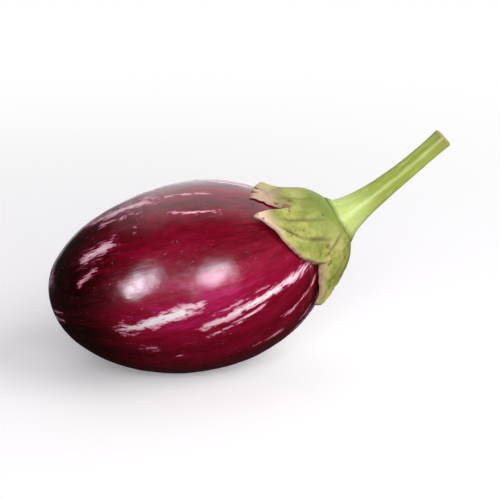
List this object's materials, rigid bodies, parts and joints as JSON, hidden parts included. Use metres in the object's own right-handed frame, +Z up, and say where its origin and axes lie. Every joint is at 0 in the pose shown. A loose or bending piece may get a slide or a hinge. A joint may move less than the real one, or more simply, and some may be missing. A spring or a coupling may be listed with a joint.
{
  "type": "small striped eggplant",
  "caption": "Small oval striped eggplant lying on its side, with a lobed green calyx capping one end and a bent cut stem.",
  "frame": {"origin": "middle of the small flat spot on the underside that the fruit rests on", "axes": "+X along the fruit towards its stem end, +Z up from the surface it lies on"},
  "size_m": [0.1029, 0.0482, 0.0587],
  "materials": {
    "fruit_skin": "glossy smooth purple-magenta skin with ragged cream and pink streaks running from end to end",
    "calyx_leaf": "satin leathery green with darker veins and dry brown-pink lobe tips",
    "stem_skin": "satin yellow-green with faint ribs and a dry pale cut end"
  },
  "bodies": {
    "root": {"fruit": "fruit_skin", "calyx": "calyx_leaf", "stem": "stem_skin"}
  },
  "joints": []
}
